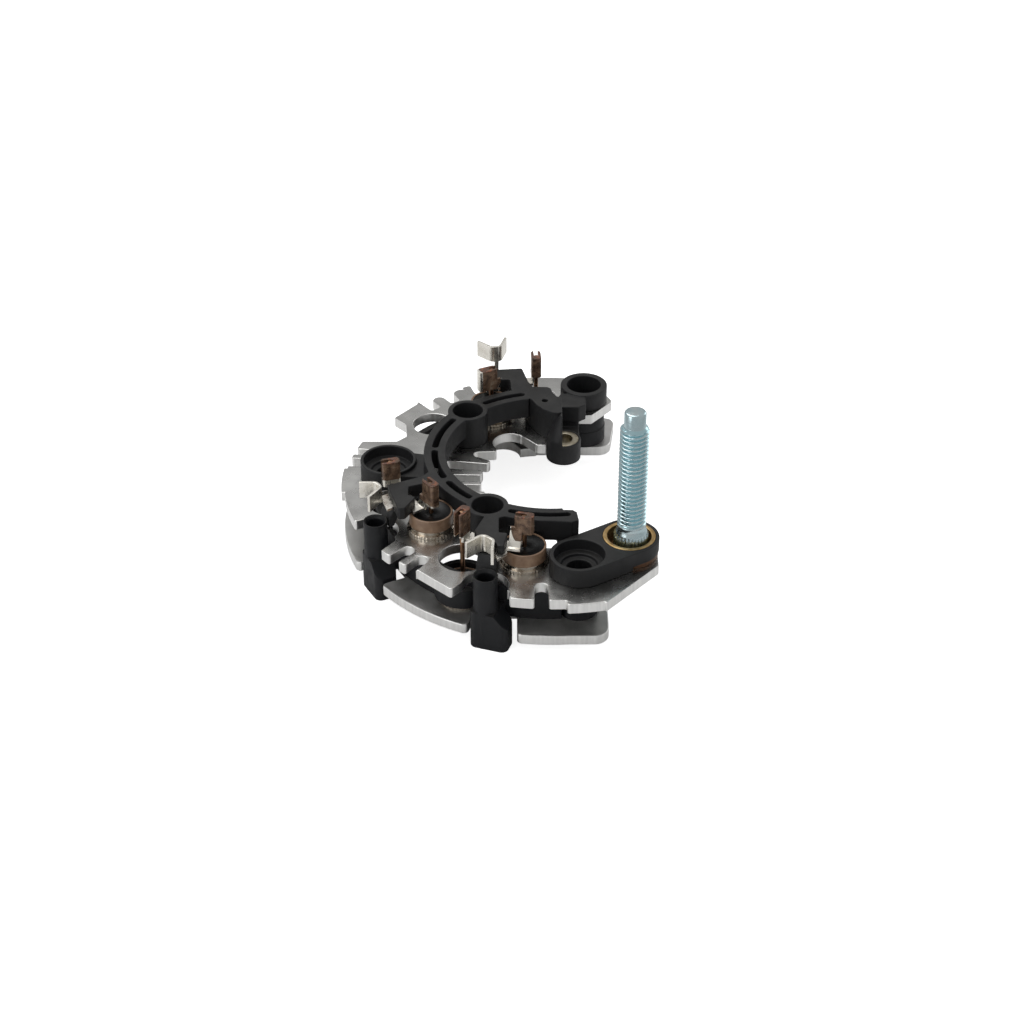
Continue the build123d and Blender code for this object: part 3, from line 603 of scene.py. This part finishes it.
def wedge(angle):
    """Cutter over one block's far end, drawn upright along the rim and centred on its tube."""
    turn = math.radians(angle)
    section = [(shoulder_start, shoulder_high), (shoulder_end, shoulder_low),
               (shoulder_end, wedge_top), (shoulder_start, wedge_top)]
    corners = []
    for outward in (guide_circle - wedge_half_depth, guide_circle + wedge_half_depth):
        for along, z in section:
            x = outward * math.cos(turn) - along * math.sin(turn)
            y = outward * math.sin(turn) + along * math.cos(turn)
            corners.append((x * mm, y * mm, z * mm))
    sides = [(0, 1, 2, 3), (7, 6, 5, 4)]
    sides += [(i, i + 4, (i + 1) % 4 + 4, (i + 1) % 4) for i in range(4)]
    mesh = bpy.data.meshes.new("shoulder_wedge")
    mesh.from_pydata(corners, [], sides)
    form = bmesh.new()
    form.from_mesh(mesh)
    bmesh.ops.recalc_face_normals(form, faces=form.faces)
    form.to_mesh(mesh)
    form.free()
    return add_object("shoulder_wedge", mesh)


shoulder_slope = math.atan2(shoulder_high - shoulder_low, shoulder_end - shoulder_start)
print("slope of a shoulder:", round(math.degrees(shoulder_slope)), "degrees")

# %% Cut the shoulders
solid_frame = nodes["insulator_frame"]
frame_mesh = solid_frame.data.copy()
frame_mesh.transform(solid_frame.matrix_world)
form = bmesh.new()
form.from_mesh(frame_mesh)
bmesh.ops.remove_doubles(form, verts=form.verts, dist=weld_distance)
form.to_mesh(frame_mesh)
form.free()
shouldered_frame = add_object("shouldered_frame", frame_mesh)
cutters = [wedge(angle) for angle in guide_angles]
for cutter in cutters:
    cut = shouldered_frame.modifiers.new("Shoulder", "BOOLEAN")
    cut.operation = "DIFFERENCE"
    cut.solver = "EXACT"
    cut.object = cutter
seen_now = bpy.context.evaluated_depsgraph_get()
cut_mesh = bpy.data.meshes.new_from_object(shouldered_frame.evaluated_get(seen_now))
shouldered_frame.modifiers.clear()
shouldered_frame.data = cut_mesh
for cutter in cutters:
    bpy.data.objects.remove(cutter)
dress(shouldered_frame, black_plastic, 0.2)
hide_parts("insulator_frame")
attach(shouldered_frame, "root")
print("frame faces before and after:", len(frame_mesh.polygons), len(cut_mesh.polygons))

# %% [markdown]
# ## Floor and backdrop
# The part lies on plain white. A floor that is only bright would burn out and throw light back up,
# so it stays a pale matt surface for the light and for reflections, and a Light Path switch shows
# it white to the camera, with only a trace of the soft shadow.

# %% Floor
floor_reach = 6.0
floor_colour = (0.8, 0.8, 0.8, 1.0)
camera_glow = 0.82
white = (1.0, 1.0, 1.0, 1.0)

floor_z = min(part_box(name)[0][2] for name in nodes)
floor_corners = [(x * floor_reach, y * floor_reach, floor_z) for x, y in ((-1, -1), (1, -1), (1, 1), (-1, 1))]
floor_mesh = bpy.data.meshes.new("floor")
floor_mesh.from_pydata(floor_corners, [], [(0, 1, 2, 3)])
floor = add_object("floor", floor_mesh)
floor_finish = bpy.data.materials.new("white_floor")
floor_finish.use_nodes = True
tree = floor_finish.node_tree
tree.nodes.clear()
matt = tree.nodes.new("ShaderNodeBsdfDiffuse")
matt.inputs["Color"].default_value = floor_colour
glow = tree.nodes.new("ShaderNodeEmission")
glow.inputs["Color"].default_value = white
path = tree.nodes.new("ShaderNodeLightPath")
seen_glow = calculate(tree, "MULTIPLY", path.outputs["Is Camera Ray"], camera_glow)
tree.links.new(seen_glow, glow.inputs["Strength"])
both = tree.nodes.new("ShaderNodeAddShader")
tree.links.new(matt.outputs["BSDF"], both.inputs[0])
tree.links.new(glow.outputs["Emission"], both.inputs[1])
output = tree.nodes.new("ShaderNodeOutputMaterial")
tree.links.new(both.outputs["Shader"], output.inputs["Surface"])
floor_mesh.materials.append(floor_finish)
print("floor at", round(floor_z / mm, 2), "mm")

# %% [markdown]
# ## Light
# The photograph was lit softly from all round, with a wide light above and to the left.
# A white world does most of it: the camera sees it at full strength, and it lights the part at
# half of that. Three area lamps give the tops their sheen and the walls their shade. They are big
# compared with the part, so the shadows stay soft. The one at the back right is there for the
# light that it spreads, so its glint is kept low.

# %% World
world_light = 0.5
world_seen = 1.0

world = bpy.data.worlds.new("studio")
bpy.context.scene.world = world
world.use_nodes = True
tree = world.node_tree
sky = tree.nodes["Background"]
sky.inputs["Color"].default_value = white
path = tree.nodes.new("ShaderNodeLightPath")
added = calculate(tree, "MULTIPLY", path.outputs["Is Camera Ray"], world_seen - world_light)
tree.links.new(calculate(tree, "ADD", added, world_light), sky.inputs["Strength"])
print("world gives", world_light, "and shows", world_seen)

# %% Lamps
def lamp(name, place, aim, size, power, glint=1.0):
    """Square area lamp that looks from one point to another, in metres and watts."""
    data = bpy.data.lights.new(name, "AREA")
    data.shape = "SQUARE"
    data.size = size
    data.energy = power
    data.specular_factor = glint
    light = add_object(name, data)
    light.location = place
    direction = [a - p for a, p in zip(aim, place)]
    light.rotation_euler = Vector(direction).to_track_quat("-Z", "Y").to_euler()


lamp("overhead", (-0.12, 0.10, 0.42), (0.0, 0.0, 0.0), 0.35, 0.8)
lamp("left_front", (-0.45, -0.35, 0.25), (0.0, 0.0, 0.01), 0.3, 0.55)
lamp("right_back", (0.38, 0.30, 0.22), (0.0, 0.0, 0.02), 0.25, 0.3, glint=0.15)

# %% [markdown]
# ## Camera
# The camera stands where the photographer stood: about 640 mm away, 33 degrees above the table,
# with a short telephoto view. It was solved from the circles of the plates and their holes.

# %% Camera
camera_place = (-10.75 * mm, -530.37 * mm, 354.44 * mm)
looking_down = 33.4

camera_data = bpy.data.cameras.new("camera")
camera_data.sensor_width = 36.0
camera_data.lens = 77.34
camera_data.clip_start = 0.01
camera = add_object("camera", camera_data)
camera.location = camera_place
camera.rotation_euler = (math.radians(90.0 - looking_down), 0.0, 0.0)
bpy.context.scene.camera = camera
bpy.context.scene.view_settings.view_transform = "Standard"
print("camera distance:", round(Vector(camera_place).length / mm), "mm")

# %% [markdown]
# ## End

# %% Finish
print("scene ready")
